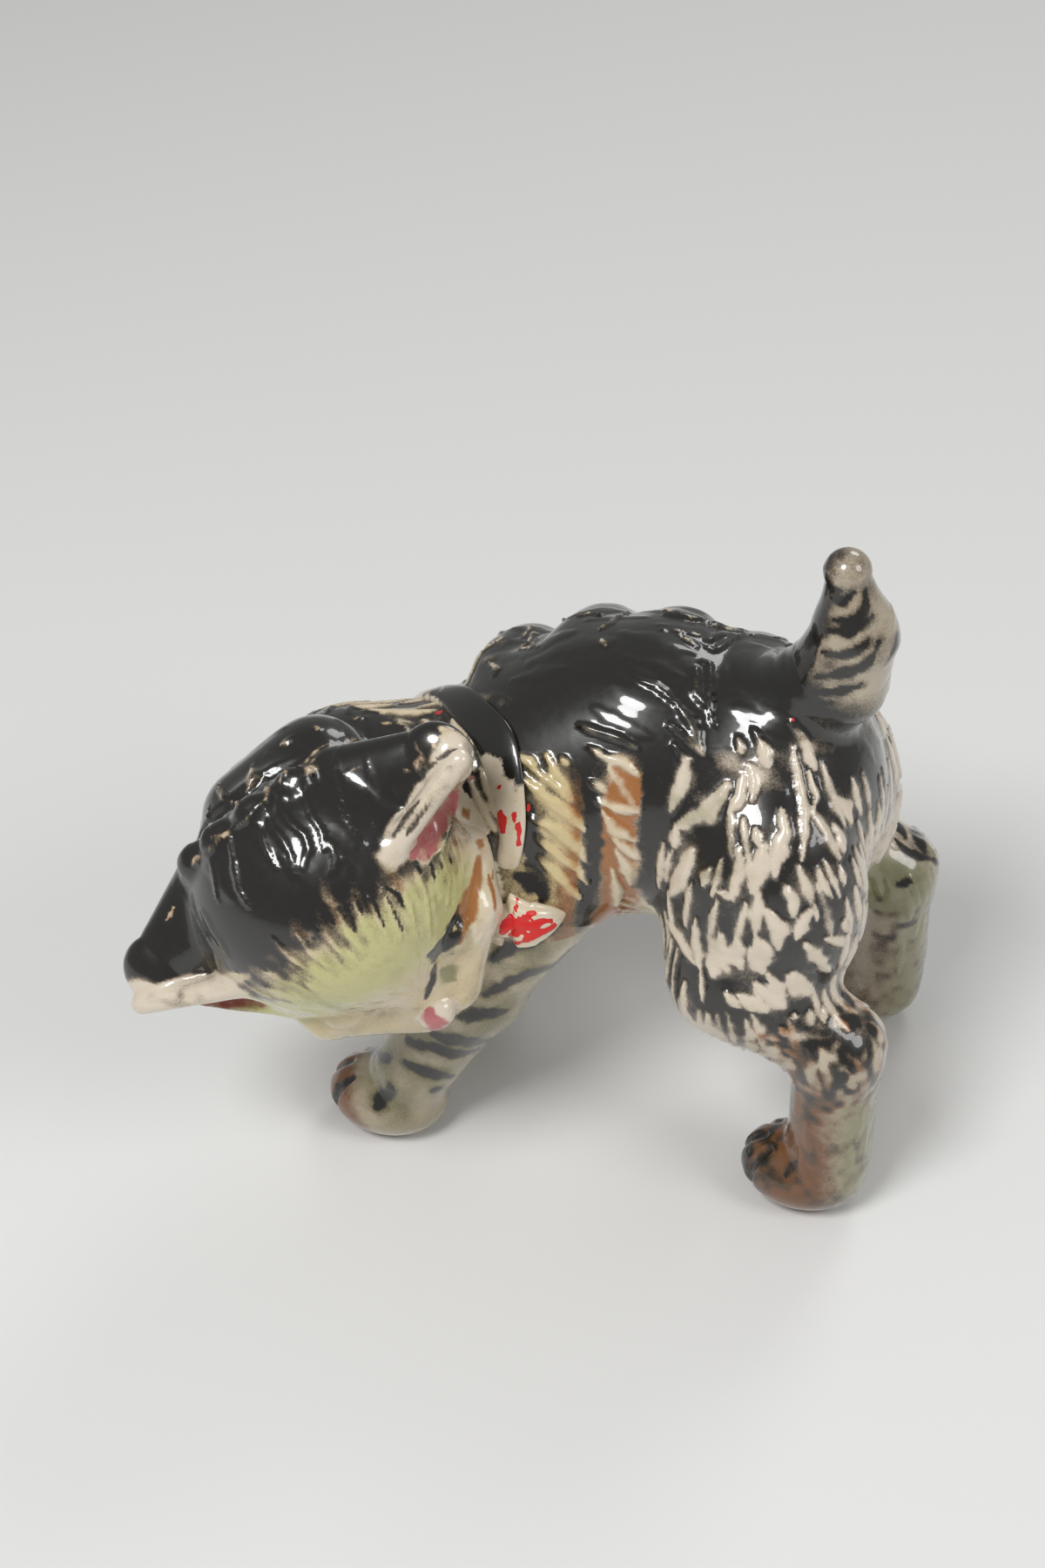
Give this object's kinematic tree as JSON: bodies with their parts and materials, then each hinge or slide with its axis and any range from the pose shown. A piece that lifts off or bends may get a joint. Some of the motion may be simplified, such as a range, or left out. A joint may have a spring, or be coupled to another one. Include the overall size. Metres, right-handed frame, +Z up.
{
  "type": "cat figurine",
  "caption": "Glazed ceramic tabby kitten standing with arched back and upright tail, its head turned back over the left shoulder, with a moulded neck ribbon and bow.",
  "frame": {"origin": "centre of the bounding box, on the surface that the four paws stand on", "axes": "+X from the chest to the tail, +Y towards the kitten's right flank, +Z up; the head turns towards -Y"},
  "size_m": [0.0786, 0.062, 0.0786],
  "materials": {
    "tabby_glaze": "clear gloss glaze over black, brown, olive and cream underglaze",
    "ear_glaze": "clear gloss glaze, black outside and pink inside, with white rims",
    "leg_glaze": "clear gloss glaze over dark cross stripes and brown paws",
    "tail_glaze": "clear gloss glaze over grey-white with dark bands",
    "cold_paint": "glossy white glaze with worn red paint on top"
  },
  "bodies": {
    "root": {"torso": "tabby_glaze", "head": "tabby_glaze", "left_ear": "ear_glaze", "right_ear": "ear_glaze", "left_foreleg": "leg_glaze", "right_foreleg": "leg_glaze", "left_hind_leg": "leg_glaze", "right_hind_leg": "leg_glaze", "tail": "tail_glaze", "collar_ribbon": "cold_paint", "ribbon_bow": "cold_paint"}
  },
  "joints": []
}
